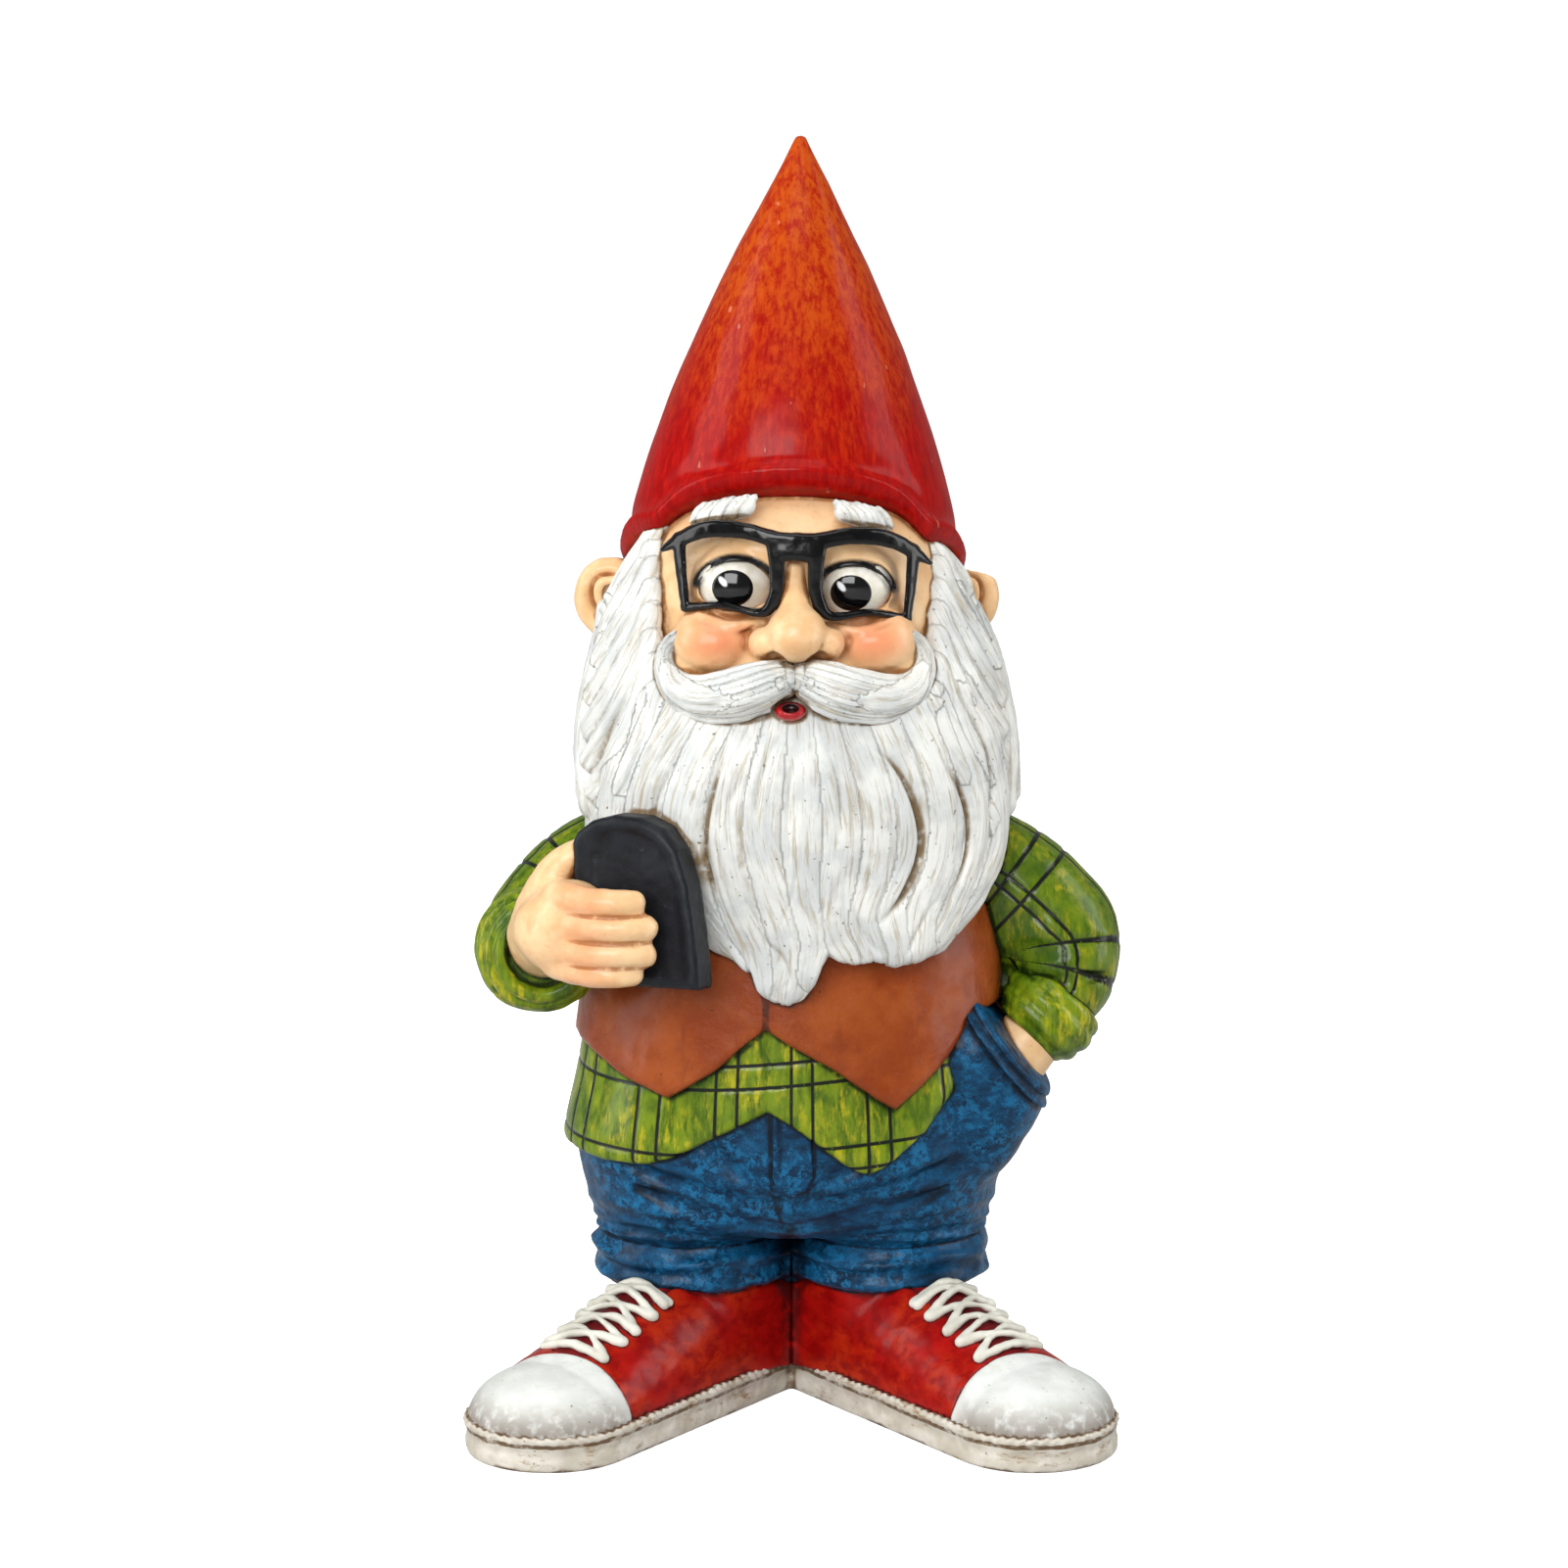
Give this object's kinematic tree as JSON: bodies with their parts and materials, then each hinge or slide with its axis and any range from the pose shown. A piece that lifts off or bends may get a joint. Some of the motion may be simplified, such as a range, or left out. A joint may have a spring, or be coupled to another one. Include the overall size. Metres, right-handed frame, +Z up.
{
  "type": "garden gnome",
  "caption": "Free-standing painted resin garden gnome with a tall pointed hat, glasses, full beard, waistcoat, checked shirt, jeans and canvas shoes, holding a phone.",
  "frame": {"origin": "on the ground plane under the middle of the figure, on the flat underside of the joined soles", "axes": "+Z up to the hat's tip; the figure faces -Y; +X is the figure's own left"},
  "size_m": [0.154, 0.1095, 0.3],
  "materials": {
    "hat_red": "hand-painted red antiqued with orange, satin varnish",
    "skin": "hand-painted peach with rosy cheeks, satin varnish",
    "whisker_white": "hand-painted off-white with a brown wash in the grooves",
    "eye_white": "painted ivory, gloss",
    "gloss_black": "painted black, gloss",
    "lip_red": "painted red, gloss",
    "vest_brown": "painted tan leather brown, satin varnish",
    "shirt_green": "painted green with yellow dry-brushing and engraved black checks",
    "phone_black": "painted charcoal, matt",
    "denim_blue": "painted navy sponged with lighter blue",
    "canvas_red": "painted red with orange shading, satin varnish",
    "tongue_red": "painted dark red",
    "cap_white": "painted white with scuffs",
    "lace_white": "piped white paint",
    "sole_cream": "painted cream with a brown wash",
    "plug_grey": "soft plug, plain"
  },
  "bodies": {
    "root": {"hat": "hat_red", "head": "skin", "hair": "whisker_white", "beard": "whisker_white", "moustache": "whisker_white", "lower_lip": "lip_red", "right_eyebrow": "whisker_white", "left_eyebrow": "whisker_white", "right_eyeball": "eye_white", "left_eyeball": "eye_white", "right_pupil": "gloss_black", "left_pupil": "gloss_black", "glasses": "gloss_black", "vest": "vest_brown", "shirt": "shirt_green", "right_sleeve": "shirt_green", "left_sleeve": "shirt_green", "right_cuff_roll": "shirt_green", "left_cuff_roll": "shirt_green", "right_hand": "skin", "left_hand": "skin", "phone": "phone_black", "trousers": "denim_blue", "fly_flap": "denim_blue", "pocket_lip": "denim_blue", "right_trouser_cuff": "denim_blue", "left_trouser_cuff": "denim_blue", "right_shoe": "canvas_red", "left_shoe": "canvas_red", "right_toe_cap": "cap_white", "left_toe_cap": "cap_white", "right_tongue": "tongue_red", "left_tongue": "tongue_red", "right_laces": "lace_white", "left_laces": "lace_white", "sole": "sole_cream", "pour_plug": "plug_grey"}
  },
  "joints": []
}
